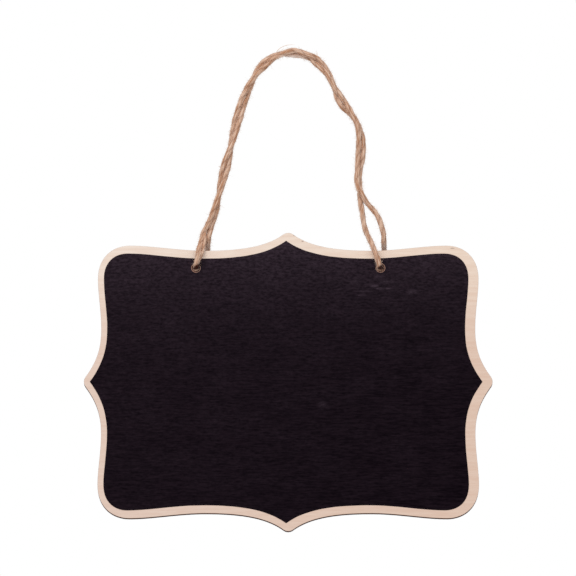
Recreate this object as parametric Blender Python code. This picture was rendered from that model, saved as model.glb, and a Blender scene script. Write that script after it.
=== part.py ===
"""Small wall chalkboard: a plywood plaque with a black writing field, hung on a loop of doubled twine.

Metres, +Z up, the writing field facing -Y and +X to the right of a reader. The origin is where the
loop hangs on its nail: the underside of the twine at the top, on the board's centre plane.
The board swings to and fro below the loop about a line along X, level with the board's top tip.
"""

import math

import bpy
import numpy as np
from mathutils import Vector

# Writing field: its size, and its place beside the board's middle

FIELD_WIDTH = 0.1958
FIELD_HEIGHT = 0.1424
FIELD_SHIFT = -0.00105
COAT_THICKNESS = 0.00015

# A quarter of the field's outline, from the top tip to the right tip, as cubic Bezier points:
# tip, dip of the top edge, crest before the corner, crest after it, dip of the side, side tip.
# Each pair is a share of half the width and a share of half the height.

OUTLINE_SHARES = (
    (0.0, 1.0), (0.091, 0.909), (0.219, 0.873),
    (0.4225, 0.873), (0.564, 0.873), (0.693, 0.909),
    (0.808, 0.909), (0.872, 0.909), (0.9295, 0.856),
    (0.9295, 0.730), (0.9295, 0.623), (0.912, 0.508),
    (0.912, 0.369), (0.912, 0.189), (0.9545, 0.088),
    (1.0, 0.0),
)
CURVE_STEPS = 8
ARC_STEPS = 6

# Plywood board: a bare border round the field, three plies and two drilled holes

BORDER = 0.0041
VENEER_THICKNESS = 0.0011
CORE_THICKNESS = 0.0012
SEAT_GAP = 0.0003
HOLE_DIAMETER = 0.0040
HOLE_SPACING = 0.0923
HOLE_BELOW_EDGE = 0.0088
COAT_HOLE_CLEARANCE = 0.00045
HOLE_STEPS = 32

# Twine, and where the board hangs below the nail

TWINE_DIAMETER = 0.0025
STRAND_GAP = 0.0004
LOOP_SPACING = 0.0030
LEAD_SPACING = 0.0018
LEAD_LEAN = 0.0005
BOARD_DROP = 0.1642
DOME_ANGLES = tuple(math.radians(angle) for angle in (35, 65, 82))

# The loop's route, from the left to the right, chosen by hand along the doubled twine.
# Each row is x, z, how much further each strand lies from the middle than when they touch, and the
# pair's twist in half turns. The strand from the back left lies inside the arch at an even count and
# outside it at an odd one, and at a half count one strand is in front of the other.

LOOP_ROUTE = (
    (-0.04083, -0.08860, 0.00005, 0.00),
    (-0.03919, -0.08440, 0.00008, 0.28),
    (-0.03691, -0.07821, 0.00000, 0.26),
    (-0.03487, -0.07010, 0.00000, 0.50),
    (-0.03158, -0.05597, 0.00000, 1.00),
    (-0.02882, -0.04528, 0.00000, 1.50),
    (-0.02506, -0.02957, 0.00000, 2.00),
    (-0.02177, -0.01946, 0.00000, 2.20),
    (-0.01858, -0.01236, 0.00000, 2.40),
    (-0.01410, -0.00511, 0.00000, 2.80),
    (-0.01220, -0.00321, 0.00000, 2.93),
    (-0.00846, 0.00001, 0.00000, 2.72),
    (-0.00539, 0.00162, 0.00000, 2.67),
    (-0.00152, 0.00273, 0.00005, 2.50),
    (0.00130, 0.00294, 0.00005, 2.24),
    (0.00399, 0.00280, 0.00000, 2.18),
    (0.00908, 0.00152, 0.00000, 2.38),
    (0.01236, 0.00022, 0.00000, 2.28),
    (0.01439, -0.00149, 0.00000, 2.05),
    (0.01945, -0.00719, 0.00000, 1.70),
    (0.02323, -0.01505, 0.00000, 1.50),
    (0.02781, -0.02353, 0.00005, 1.02),
    (0.03057, -0.02688, 0.00005, 1.38),
    (0.03344, -0.03106, 0.00000, 1.50),
    (0.03508, -0.03460, 0.00000, 1.58),
    (0.03618, -0.03973, 0.00000, 1.77),
    (0.03624, -0.04884, 0.00010, 1.93),
    (0.03530, -0.05696, 0.00000, 1.66),
    (0.03502, -0.06277, 0.00000, 1.69),
    (0.03555, -0.06603, 0.00000, 1.60),
    (0.03619, -0.06837, 0.00000, 1.44),
    (0.03769, -0.07353, 0.00030, 1.05),
    (0.03959, -0.07759, 0.00150, 1.00),
    (0.04128, -0.08159, 0.00265, 1.00),
    (0.04236, -0.08510, 0.00275, 1.00),
    (0.04335, -0.08860, 0.00275, 1.00),
)

# The twine's routes on the board, chosen by hand: down the front, through a hole, and behind.
# The right one runs on up to the swing line, and the left ones end at the knot.

RIGHT_ROUTE = (
    (0.04160, -0.0017, -0.0940), (0.04255, -0.0036, -0.0966), (0.04350, -0.0048, -0.0995),
    (0.04445, -0.0050, -0.1020), (0.04550, -0.0037, -0.1056), (0.04615, 0.0, -0.10705),
    (0.04690, 0.0037, -0.1056), (0.04760, 0.0050, -0.1020), (0.04795, 0.0048, -0.0995),
    (0.04795, 0.0036, -0.0966), (0.04785, 0.0017, -0.0940),
)
LEFT_FRONT_ROUTE = (
    (-0.04370, -0.0017, -0.0940), (-0.04445, -0.0036, -0.0966), (-0.04495, -0.0048, -0.0995),
    (-0.04535, -0.0050, -0.1020), (-0.04585, -0.0037, -0.1055), (-0.04610, -0.0010, -0.1069),
    (-0.04615, 0.0022, -0.1070),
)
LEFT_BACK_ROUTE = (
    (-0.04020, 0.0017, -0.0940), (-0.04035, 0.0036, -0.0966), (-0.04060, 0.0047, -0.0995),
    (-0.04140, 0.0049, -0.1020), (-0.04245, 0.0049, -0.10335),
)
TAIL_A_ROUTE = (
    (-0.04740, 0.0050, -0.1121), (-0.04840, 0.0050, -0.1155), (-0.04980, 0.0049, -0.1187),
    (-0.05140, 0.0051, -0.1222), (-0.05240, 0.0050, -0.1251),
)
TAIL_B_ROUTE = (
    (-0.04455, 0.0049, -0.1116), (-0.04385, 0.0048, -0.1156), (-0.04350, 0.0050, -0.1185),
    (-0.04370, 0.0052, -0.1213),
)

# Overhand knot behind the left hole

KNOT_RADIUS = 0.00285
KNOT_SWAY = 0.0013
KNOT_RISE = 0.0014
KNOT_TWINE_DIAMETER = 0.0022
KNOT_STEPS = 60

# Derived sizes

TWINE_RADIUS = TWINE_DIAMETER / 2
HINGE_HEIGHT = LOOP_ROUTE[0][1]
BOARD_THICKNESS = 2 * VENEER_THICKNESS + CORE_THICKNESS + 2 * SEAT_GAP
KNOT_DEPTH = BOARD_THICKNESS / 2 + SEAT_GAP + KNOT_TWINE_DIAMETER / 2 + KNOT_RISE


def clear_scene():
    """Remove every object that the file starts with."""
    for item in list(bpy.data.objects):
        bpy.data.objects.remove(item, do_unlink=True)


def make_material(name, colour, roughness):
    """A plain Principled material."""
    material = bpy.data.materials.new(name)
    material.use_nodes = True
    shader = material.node_tree.nodes["Principled BSDF"]
    shader.inputs["Base Color"].default_value = (*colour, 1.0)
    shader.inputs["Roughness"].default_value = roughness
    shader.inputs["Metallic"].default_value = 0.0
    return material


def add_object(name, data, collection, parent=None):
    """Link an object, with its origin on its parent's."""
    item = bpy.data.objects.new(name, data)
    collection.objects.link(item)
    item.parent = parent
    return item


def quarter_outline():
    """Points and outward normals of the field's quarter, from the top tip to the right tip."""
    half_sizes = np.array((FIELD_WIDTH, FIELD_HEIGHT)) / 2
    controls = np.array(OUTLINE_SHARES) * half_sizes
    points = []
    tangents = []
    for start in range(0, len(controls) - 1, 3):
        a, b, c, d = controls[start:start + 4]
        last = start + 4 == len(controls)
        for t in np.linspace(0, 1, CURVE_STEPS + 1)[: None if last else -1]:
            s = 1 - t
            points.append(s**3 * a + 3 * s * s * t * b + 3 * s * t * t * c + t**3 * d)
            tangents.append(s * s * (b - a) + 2 * s * t * (c - b) + t * t * (d - c))
    normals = np.array([(-along[1], along[0]) for along in tangents])
    return np.array(points), normals / np.linalg.norm(normals, axis=1)[:, None]


def hole_places():
    """The two holes' middles, below the board's top edge, which ends where the outline turns back."""
    points, normals = quarter_outline()
    edge = points + BORDER * normals
    top_end = int(np.argmin(np.diff(edge[:, 0]) > 0)) + 1
    top_edge = edge[:top_end]
    up = float(np.interp(HOLE_SPACING / 2, top_edge[:, 0], top_edge[:, 1])) - HOLE_BELOW_EDGE
    return ((-HOLE_SPACING / 2, up), (HOLE_SPACING / 2, up))


def tip_arc(corner, normal, radius):
    """The round join at a tip, from the mirrored normal to this one, without its last point."""
    axis = corner / np.linalg.norm(corner)
    lean = math.acos(float(np.clip(normal @ axis, -1, 1)))
    across = normal - (normal @ axis) * axis
    across = across / np.linalg.norm(across)
    angles = np.linspace(-lean, lean, ARC_STEPS + 1)[:-1]
    return [corner + radius * (math.cos(angle) * axis + math.sin(angle) * across) for angle in angles]


def plaque_outline(border):
    """The field's outline, clockwise from the top tip, grown outward by the border."""
    points, normals = quarter_outline()
    loop = []
    for side, signs in enumerate(((1, 1), (1, -1), (-1, -1), (-1, 1))):
        order = slice(None, None, -1 if side % 2 else 1)
        corners = points[order] * signs
        outward = normals[order] * signs
        if border:
            loop.extend(tip_arc(corners[0], outward[0], border))
        loop.extend((corners + border * outward)[:-1])
    return loop


def circle(middle, diameter):
    """A hole's outline."""
    angles = [2 * math.pi * step / HOLE_STEPS for step in range(HOLE_STEPS)]
    x, z = middle
    return [(x + diameter / 2 * math.cos(angle), z + diameter / 2 * math.sin(angle)) for angle in angles]


def add_flat(name, loops, thickness, place, material, collection, parent):
    """A flat piece with holes, standing in the XZ plane with its middle at the place."""
    curve = bpy.data.curves.new(name, "CURVE")
    curve.dimensions = "2D"
    curve.fill_mode = "BOTH"
    curve.extrude = thickness / 2
    for loop in loops:
        spline = curve.splines.new("POLY")
        spline.points.add(len(loop) - 1)
        for point, (across, up) in zip(spline.points, loop):
            point.co = (across, up, 0, 1)
        spline.use_cyclic_u = True
    curve.materials.append(material)
    item = add_object(name, curve, collection, parent)
    item.location = Vector(place) - parent.location
    item.rotation_euler = (math.radians(90), 0, 0)
    return item


def smooth_path(route, places, spacing):
    """Evenly spaced rows along a smooth curve through a route, measured along its first columns."""
    rows = np.array(route)
    steps = np.linalg.norm(np.diff(rows[:, :places], axis=0), axis=1)
    run = np.concatenate((np.zeros(1), np.cumsum(steps)))
    slopes = np.gradient(rows, run, axis=0)
    at = np.linspace(0, run[-1], max(3, round(run[-1] / spacing) + 1))
    index = np.clip(np.searchsorted(run, at, side="right") - 1, 0, len(run) - 2)
    span = (run[index + 1] - run[index])[:, None]
    t = (at - run[index])[:, None] / span
    start = (2 * t**3 - 3 * t**2 + 1) * rows[index] + (t**3 - 2 * t**2 + t) * span * slopes[index]
    end = (3 * t**2 - 2 * t**3) * rows[index + 1] + (t**3 - t**2) * span * slopes[index + 1]
    return start + end


def loop_strands():
    """The two strands of the doubled loop, on either side of the route and turning round it."""
    rows = smooth_path(LOOP_ROUTE, 2, LOOP_SPACING)
    along = np.gradient(rows[:, :2], axis=0)
    along[0] = (0, 1)
    along[-1] = (0, -1)
    along = along / np.linalg.norm(along, axis=1)[:, None]
    reach = (TWINE_DIAMETER + STRAND_GAP) / 2 + rows[:, 2]
    turn = rows[:, 3] * math.pi
    inward = reach * np.cos(turn)
    behind = reach * np.sin(turn)
    middle = np.column_stack((rows[:, 0], np.zeros(len(rows)), rows[:, 1]))
    offset = np.column_stack((inward * along[:, 1], behind, -inward * along[:, 0]))
    return middle + offset, middle - offset


def dome(middle, direction, radius):
    """Rows of a round end past a tube's last point: places and the radius's shares there."""
    rows = []
    for angle in DOME_ANGLES:
        rows.append((Vector(middle) + Vector(direction) * (radius * math.sin(angle)), math.cos(angle)))
    return rows


def add_tube(name, points, radius, material, collection, parent, start=None, end=None, closed=False):
    """A length of twine as a tube, with a domed end where a direction is given for one."""
    rows = [(Vector(point), 1.0) for point in points]
    if start:
        rows = dome(points[0], start, radius)[::-1] + rows
    if end:
        rows = rows + dome(points[-1], end, radius)
    curve = bpy.data.curves.new(name, "CURVE")
    curve.dimensions = "3D"
    curve.bevel_depth = radius
    curve.bevel_resolution = 2
    curve.use_fill_caps = not closed
    spline = curve.splines.new("POLY")
    spline.points.add(len(rows) - 1)
    spline.use_cyclic_u = closed
    for point, (place, share) in zip(spline.points, rows):
        point.co = (*(place - parent.location), 1)
        point.radius = share
    spline.use_smooth = True
    curve.materials.append(material)
    return add_object(name, curve, collection, parent)


def knot_points():
    """An overhand knot drawn tight: a closed three-lobed curve lying against the board's back."""
    across, up = hole_places()[0]
    middle = Vector((across, KNOT_DEPTH, up - BOARD_DROP))
    points = []
    for step in range(KNOT_STEPS):
        t = 2 * math.pi * step / KNOT_STEPS
        reach = KNOT_RADIUS + KNOT_SWAY * math.cos(3 * t)
        offset = (reach * math.cos(2 * t), KNOT_RISE * math.sin(3 * t), reach * math.sin(2 * t))
        points.append(middle + Vector(offset))
    return points


def add_board(collection, pivot):
    """The three glued plies and the black coat on the front one."""
    wood = make_material("plywood_face", (0.81, 0.64, 0.52), 0.6)
    core_wood = make_material("plywood_core", (0.70, 0.50, 0.37), 0.7)
    black = make_material("blackboard_paint", (0.016, 0.011, 0.014), 0.75)
    holes = [circle(place, HOLE_DIAMETER) for place in hole_places()]
    board_loops = [plaque_outline(BORDER), *holes]
    veneer_middle = (CORE_THICKNESS + VENEER_THICKNESS) / 2 + SEAT_GAP
    coat_middle = BOARD_THICKNESS / 2 + SEAT_GAP + COAT_THICKNESS / 2
    plies = (
        ("front_veneer", -veneer_middle, VENEER_THICKNESS, wood),
        ("core_veneer", 0, CORE_THICKNESS, core_wood),
        ("back_veneer", veneer_middle, VENEER_THICKNESS, wood),
    )
    for name, depth, thickness, material in plies:
        add_flat(name, board_loops, thickness, (0, depth, -BOARD_DROP), material, collection, pivot)
    coat_holes = []
    for across, up in hole_places():
        coat_holes.append(circle((across - FIELD_SHIFT, up), HOLE_DIAMETER + 2 * COAT_HOLE_CLEARANCE))
    coat_place = (FIELD_SHIFT, -coat_middle, -BOARD_DROP)
    add_flat("blackboard_coat", [plaque_outline(0), *coat_holes], COAT_THICKNESS, coat_place, black,
             collection, pivot)


def add_loop(collection, hanger):
    """The doubled loop above the swing line, one node for each strand."""
    twine = make_material("jute_twine", (0.55, 0.36, 0.24), 0.9)
    down = (0, 0, -1)
    strands = loop_strands()
    for name, points in zip(("twine_strand_a", "twine_strand_b"), strands):
        add_tube(name, points, TWINE_RADIUS, twine, collection, hanger, start=down, end=down)
    return strands


def below(point, aside=0.0):
    """The middle of a lead's round top, clear below the round end of a strand, and moved aside."""
    return (point[0] + aside, 0, HINGE_HEIGHT - TWINE_DIAMETER - SEAT_GAP)


def add_leads(collection, pivot, strands):
    """The twine on the board: two leads at the left, one turn through the right hole, knot and tails."""
    twine = make_material("jute_lead", (0.50, 0.32, 0.21), 0.9)
    up = (0, 0, 1)
    from_back, from_front = strands
    leads = (
        ("lead_right", (below(from_front[-1], LEAD_LEAN), *RIGHT_ROUTE, below(from_back[-1])), up, up),
        ("lead_left_front", (below(from_front[0], -LEAD_LEAN), *LEFT_FRONT_ROUTE), up, None),
        ("lead_left_back", (below(from_back[0], -LEAD_LEAN), *LEFT_BACK_ROUTE), up, None),
        ("twine_tail_a", TAIL_A_ROUTE, None, None),
        ("twine_tail_b", TAIL_B_ROUTE, None, None),
    )
    for name, route, start, end in leads:
        points = smooth_path(route, 3, LEAD_SPACING)
        add_tube(name, points, TWINE_RADIUS, twine, collection, pivot, start=start, end=end)
    add_tube("twine_knot", knot_points(), KNOT_TWINE_DIAMETER / 2, twine, collection, pivot, closed=True)


def report_gaps(strands):
    """Print the least gap between the loop's strands, and the knot's to itself, between their points."""
    first, second = strands
    apart = np.linalg.norm(first[:, None, :] - second[None, :, :], axis=2)
    knot = np.array(knot_points())
    steps = np.arange(KNOT_STEPS)
    away = np.abs(steps[:, None] - steps[None, :])
    distant = np.minimum(away, KNOT_STEPS - away) > KNOT_STEPS / 10
    knot_apart = np.linalg.norm(knot[:, None, :] - knot[None, :, :], axis=2)[distant]
    print("least gap between the strands, mm:", round(1000 * (apart.min() - TWINE_DIAMETER), 3))
    print("least gap in the knot, mm:", round(1000 * (knot_apart.min() - KNOT_TWINE_DIAMETER), 3))


def build():
    """Make the whole chalkboard."""
    clear_scene()
    collection = bpy.data.collections.new("wall_chalkboard")
    bpy.context.scene.collection.children.link(collection)
    hanger = add_object("hanger_origin", None, collection)
    pivot = add_object("board_pivot", None, collection)
    pivot.location = (0, 0, HINGE_HEIGHT)
    add_board(collection, pivot)
    strands = add_loop(collection, hanger)
    add_leads(collection, pivot, strands)
    report_gaps(strands)
    bpy.context.view_layer.update()


build()
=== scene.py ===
# %% [markdown]
# A small hanging chalkboard: a plywood plaque with a black writing field and a bare wooden rim, hung
# on a loop of doubled jute twine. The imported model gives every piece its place. This notebook dresses
# it: first the camera and the twine, then the wood, the paint, the finishes and the light.

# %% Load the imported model
import math

import bmesh
import bpy
import numpy as np
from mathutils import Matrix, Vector
from mathutils.geometry import delaunay_2d_cdt


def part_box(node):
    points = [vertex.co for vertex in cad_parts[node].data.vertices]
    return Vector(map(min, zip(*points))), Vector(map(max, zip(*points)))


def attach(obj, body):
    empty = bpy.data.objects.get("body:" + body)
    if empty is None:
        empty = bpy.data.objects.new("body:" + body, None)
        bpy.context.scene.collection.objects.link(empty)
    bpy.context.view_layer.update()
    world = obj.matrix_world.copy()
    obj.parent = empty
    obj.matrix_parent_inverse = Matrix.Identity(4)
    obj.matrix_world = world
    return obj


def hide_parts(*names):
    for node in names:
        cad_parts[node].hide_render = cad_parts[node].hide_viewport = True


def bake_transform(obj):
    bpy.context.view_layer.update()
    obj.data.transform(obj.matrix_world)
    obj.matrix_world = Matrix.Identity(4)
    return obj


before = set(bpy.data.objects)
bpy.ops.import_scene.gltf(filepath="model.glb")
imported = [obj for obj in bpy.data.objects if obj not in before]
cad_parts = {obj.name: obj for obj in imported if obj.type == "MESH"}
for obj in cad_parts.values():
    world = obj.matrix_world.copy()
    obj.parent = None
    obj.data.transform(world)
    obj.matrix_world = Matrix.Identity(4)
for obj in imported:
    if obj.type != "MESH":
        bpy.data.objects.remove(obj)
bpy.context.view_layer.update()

MM = 0.001

# %% [markdown]
# The camera comes first, because every later choice is judged through it. The photograph is taken
# straight on with a long lens, from slightly below the board, so that a thin line of the lower edge
# shows. A long lens far away gives that flat look, where a near one would make the board bulge.

# %% Camera
VIEW_SPAN = 288 * MM
VIEW_DISTANCE = 6000 * MM
VIEW_ELEVATION = math.radians(-9)
VIEW_TARGET = Vector((-0.12 * MM, 0, -116.5 * MM))
SENSOR_WIDTH = 36.0

camera = bpy.data.objects.new("camera", bpy.data.cameras.new("camera"))
bpy.context.scene.collection.objects.link(camera)
camera.data.sensor_width = SENSOR_WIDTH
camera.data.lens = SENSOR_WIDTH * VIEW_DISTANCE / VIEW_SPAN
towards_camera = Vector((0, -math.cos(VIEW_ELEVATION), math.sin(VIEW_ELEVATION)))
camera.location = VIEW_TARGET + VIEW_DISTANCE * towards_camera
camera.rotation_mode = "QUATERNION"
camera.rotation_quaternion = (-towards_camera).to_track_quat("-Z", "Y")
bpy.context.scene.camera = camera
print("camera at", [round(value, 3) for value in camera.location], "lens", round(camera.data.lens, 1))

# %% [markdown]
# The twine is one piece of jute, about half a metre long. It leaves the knot behind the left hole,
# comes through to the front, rises into the loop, goes down behind the right side, turns through the
# right hole, and comes back the same way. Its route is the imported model's own, so the lists below
# repeat that model's points, in metres. A row of the loop is x, z, how much further each strand lies
# from the middle than when they touch, and the pair's twist in half turns.

# %% The twine's route
TWINE_DIAMETER = 2.5 * MM
STRAND_GAP = 0.4 * MM
STRAND_PRESS = 0.50 * MM
STRAND_SPACING = 3.0 * MM
LOOP_ROUTE = (
    (-0.04083, -0.08860, 0.00005, 0.00), (-0.03919, -0.08440, 0.00008, 0.28),
    (-0.03691, -0.07821, 0.00000, 0.26), (-0.03487, -0.07010, 0.00000, 0.50),
    (-0.03158, -0.05597, 0.00000, 1.00), (-0.02882, -0.04528, 0.00000, 1.50),
    (-0.02506, -0.02957, 0.00000, 2.00), (-0.02177, -0.01946, 0.00000, 2.20),
    (-0.01858, -0.01236, 0.00000, 2.40), (-0.01410, -0.00511, 0.00000, 2.80),
    (-0.01220, -0.00321, 0.00000, 2.93), (-0.00846, 0.00001, 0.00000, 2.72),
    (-0.00539, 0.00162, 0.00000, 2.67), (-0.00152, 0.00273, 0.00005, 2.50),
    (0.00130, 0.00294, 0.00005, 2.24), (0.00399, 0.00280, 0.00000, 2.18),
    (0.00908, 0.00152, 0.00000, 2.38), (0.01236, 0.00022, 0.00000, 2.28),
    (0.01439, -0.00149, 0.00000, 2.05), (0.01945, -0.00719, 0.00000, 1.70),
    (0.02323, -0.01505, 0.00000, 1.50), (0.02781, -0.02353, 0.00005, 1.02),
    (0.03057, -0.02688, 0.00005, 1.38), (0.03344, -0.03106, 0.00000, 1.50),
    (0.03508, -0.03460, 0.00000, 1.58), (0.03618, -0.03973, 0.00000, 1.77),
    (0.03624, -0.04884, 0.00010, 1.93), (0.03530, -0.05696, 0.00000, 1.66),
    (0.03502, -0.06277, 0.00000, 1.69), (0.03555, -0.06603, 0.00000, 1.60),
    (0.03619, -0.06837, 0.00000, 1.44), (0.03769, -0.07353, 0.00030, 1.05),
    (0.03959, -0.07759, 0.00150, 1.00), (0.04128, -0.08159, 0.00265, 1.00),
    (0.04236, -0.08510, 0.00275, 1.00), (0.04335, -0.08860, 0.00275, 1.00),
)
RIGHT_ROUTE = (
    (0.04160, -0.0017, -0.0940), (0.04255, -0.0036, -0.0966), (0.04350, -0.0048, -0.0995),
    (0.04445, -0.0050, -0.1020), (0.04550, -0.0037, -0.1056), (0.04615, 0.0, -0.10705),
    (0.04690, 0.0037, -0.1056), (0.04760, 0.0050, -0.1020), (0.04795, 0.0048, -0.0995),
    (0.04795, 0.0036, -0.0966), (0.04785, 0.0017, -0.0940),
)
LEFT_FRONT_ROUTE = (
    (-0.04370, -0.0017, -0.0940), (-0.04445, -0.0036, -0.0966), (-0.04495, -0.0048, -0.0995),
    (-0.04535, -0.0050, -0.1020), (-0.04585, -0.0037, -0.1055), (-0.04610, -0.0010, -0.1069),
    (-0.04615, 0.0022, -0.1070),
)
LEFT_BACK_ROUTE = (
    (-0.04020, 0.0017, -0.0940), (-0.04035, 0.0036, -0.0966), (-0.04060, 0.0047, -0.0995),
    (-0.04140, 0.0049, -0.1020), (-0.04245, 0.0049, -0.10335),
)
HINGE_HEIGHT = LOOP_ROUTE[0][1]
PRESS_RISE = 8 * MM


def smooth_path(route, places, spacing):
    """Evenly spaced rows along a smooth curve through a route: between two rows, a cubic whose ends
    have the rows' places and their neighbours' mean slopes, over the run of the first columns."""
    rows = np.array(route)
    steps = np.linalg.norm(np.diff(rows[:, :places], axis=0), axis=1)
    run = np.concatenate((np.zeros(1), np.cumsum(steps)))
    slopes = np.gradient(rows, run, axis=0)
    at = np.linspace(0, run[-1], max(3, round(run[-1] / spacing) + 1))
    index = np.clip(np.searchsorted(run, at, side="right") - 1, 0, len(run) - 2)
    span = (run[index + 1] - run[index])[:, None]
    t = (at - run[index])[:, None] / span
    start = (2 * t**3 - 3 * t**2 + 1) * rows[index] + (t**3 - 2 * t**2 + t) * span * slopes[index]
    end = (3 * t**2 - 2 * t**3) * rows[index + 1] + (t**3 - t**2) * span * slopes[index + 1]
    return start + end


def unit(vectors):
    """The vectors at length one."""
    return vectors / np.linalg.norm(vectors, axis=-1, keepdims=True)


def loop_strands():
    """The doubled loop's two middle lines: the route, plus and minus an offset square to it, which
    turns round it by the route's half turns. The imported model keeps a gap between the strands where
    real ones lie against each other, so the offset is less by half the press, up from the swing line."""
    rows = smooth_path(LOOP_ROUTE, 2, STRAND_SPACING)
    along = np.gradient(rows[:, :2], axis=0)
    along[0] = (0, 1)
    along[-1] = (0, -1)
    along = unit(along)
    above = np.clip((rows[:, 1] - HINGE_HEIGHT) / PRESS_RISE, 0, 1)
    reach = (TWINE_DIAMETER + STRAND_GAP - STRAND_PRESS * above) / 2 + rows[:, 2]
    inward = reach * np.cos(rows[:, 3] * math.pi)
    behind = reach * np.sin(rows[:, 3] * math.pi)
    middle = np.column_stack((rows[:, 0], np.zeros(len(rows)), rows[:, 1]))
    offset = np.column_stack((inward * along[:, 1], behind, -inward * along[:, 0]))
    return middle + offset, middle - offset


RING_SPACING = 0.3 * MM
KNOT_ENTRY_FRONT = (-0.04615, 0.0038, -0.1074)
KNOT_ENTRY_BACK = (-0.04380, 0.0049, -0.10460)
from_back, from_front = loop_strands()
whole_route = np.vstack((
    [KNOT_ENTRY_FRONT], LEFT_FRONT_ROUTE[::-1], from_front, RIGHT_ROUTE, from_back[::-1],
    LEFT_BACK_ROUTE, [KNOT_ENTRY_BACK],
))
twine_path = smooth_path(whole_route, 3, RING_SPACING)

# %% [markdown]
# Jute twine is two plies laid round each other, so its section is two overlapping rounds with a
# shallow groove between them, and the section turns as it goes. A plain tube with a painted twist
# would look smooth at the edge, where real twine is bumpy, so the plies are real shape here. Ridges
# along the twine stand for bundles of fibre. Twine is soft, so two strands that lie side by side are
# flat against each other, and in a hole the twine spreads until it nearly fills it.

# %% Two-ply twine as a surface
LAY_LENGTH = 12.0 * MM
PLY_SHARE = 0.92
PLY_OFFSET_SHARE = 0.15
AROUND = 48
RIDGES = 20
RIDGE_COUNTS = (5, 17)
RIDGE_LENGTHS = (4, 16)
RIDGE_HEIGHT = 0.060 * MM
SLUB_SHARE = 0.05
SLUB_LENGTHS = (9 * MM, 17 * MM, 31 * MM)
HOLE_HALF_SPACING = 46.15 * MM
HOLE_HEIGHT = -106.64 * MM
SPREAD_SHARES = np.array((0.60, 0.0, 0.12))
SPREAD_REACH = 3.4 * MM
HELD_RADIUS = 1.98 * MM
HELD_DEPTH = 2.1 * MM
MEETING_GAP = 0.01 * MM
MEETING_REACH = 3.0 * MM
MEETING_FULL = 2.7 * MM
MEETING_STRETCH = 1.25
OWN_RUN = 15.0 * MM
NOT_MEETING = 1000 * MM


def carried_frame(path):
    """Tangents of a path and two directions square to them. From point to point the first is laid
    down again square to the new tangent, so the pair turns no more than the path does."""
    along = unit(np.gradient(path, axis=0))
    side = np.empty_like(path)
    helper = np.eye(3)[np.argmin(np.abs(along[0]))]
    side[0] = unit(np.cross(along[0], helper))
    for row in range(1, len(path)):
        side[row] = unit(side[row - 1] - along[row] * (side[row - 1] @ along[row]))
    return along, side, np.cross(along, side)


def laid_twine(path, diameter, seed, closed=False, narrowing=0.0, narrow_length=1.0):
    """Two-ply twine along a path, as rings of points, with a place on the twine for each point.
    At angle a from the line through both plies' middles, the reach is c |cos a| + sqrt(p^2 - c^2
    sin^2 a), for plies of radius p with middles c off the twine's. The section turns once in a lay
    length. Slubs swell it slowly, and sums of waves round and along it raise ridges."""
    random = np.random.default_rng(seed)
    along, side, up = carried_frame(path)
    run = np.concatenate((np.zeros(1), np.cumsum(np.linalg.norm(np.diff(path, axis=0), axis=1))))
    share = run / run[-1]
    turn = 2 * math.pi * run / LAY_LENGTH
    if closed:
        gap = math.atan2(side[-1] @ up[0], side[-1] @ side[0])
        half_turns = round((turn[-1] + gap) / math.pi)
        turn = turn + share * (half_turns * math.pi - gap - turn[-1])
    ply_angle = 2 * math.pi * np.arange(AROUND) / AROUND
    angle = ply_angle[None, :] + turn[:, None]
    radius = diameter / 2
    ply = PLY_SHARE * radius
    off = PLY_OFFSET_SHARE * radius
    section = off * np.abs(np.cos(ply_angle)) + np.sqrt(ply**2 - (off * np.sin(ply_angle)) ** 2)
    waves = np.zeros(len(run))
    for length in SLUB_LENGTHS:
        waves += np.cos(2 * math.pi * (run / length + random.random()))
    ends = np.clip((run[-1] - run) / narrow_length, 0, 1)
    swell = (1 + SLUB_SHARE * waves / 2) * (1 - narrowing * (1 - ends) ** 2)
    ridges = np.zeros_like(angle)
    counts = random.integers(*RIDGE_COUNTS, RIDGES)
    lengths = random.uniform(*RIDGE_LENGTHS, RIDGES) * MM
    starts = random.uniform(0, 2 * math.pi, RIDGES)
    for count, length, start in zip(counts, lengths, starts):
        lean = 0 if closed else 2 * math.pi * run[:, None] / length
        ridges += np.cos(count * angle + lean + start)
    reach = section[None, :] * swell[:, None] + RIDGE_HEIGHT * ridges / math.sqrt(RIDGES)
    points = (path[:, None, :] + reach[..., None] * (np.cos(angle)[..., None] * side[:, None, :]
              + np.sin(angle)[..., None] * up[:, None, :]))
    points = spread_in_holes(met_flat(points, path, run), path)
    place = np.stack((np.cos(angle), np.sin(angle), np.broadcast_to(run[:, None] / diameter, angle.shape)),
                     axis=-1)
    # How deep a point lies in the groove between the plies, which the finish paints darker as painted
    # shade.
    groove = np.broadcast_to((1 - np.abs(np.cos(ply_angle))) ** 2, angle.shape)
    return points, place, groove


def met_flat(points, path, run):
    """Rings pressed flat where another stretch of the same twine lies alongside. The stretch next to a
    ring, its own run, doesn't count. The plane half-way to the nearest other middle is the limit: the
    facing half of the ring is stretched towards it when it falls short, and points past it are moved
    back onto it."""
    apart = np.linalg.norm(path[:, None, :] - path[None, :, :], axis=2)
    apart[np.abs(run[:, None] - run[None, :]) < OWN_RUN] = NOT_MEETING
    nearest = np.argmin(apart, axis=1)
    distance = apart[np.arange(len(path)), nearest]
    facing = (path[nearest] - path) / distance[:, None]
    limit = (distance - MEETING_GAP) / 2
    reach = np.einsum("rak,rk->ra", points - path[:, None, :], facing)
    near = np.clip((MEETING_REACH - distance) / (MEETING_REACH - MEETING_FULL), 0, 1)
    short = np.clip(limit / reach.max(axis=1), 1, MEETING_STRETCH) - 1
    wanted = np.where(reach > 0, reach * (1 + (near * short)[:, None]), reach)
    wanted = np.minimum(wanted, limit[:, None])
    return points + (wanted - reach)[..., None] * facing[:, None, :]


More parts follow.
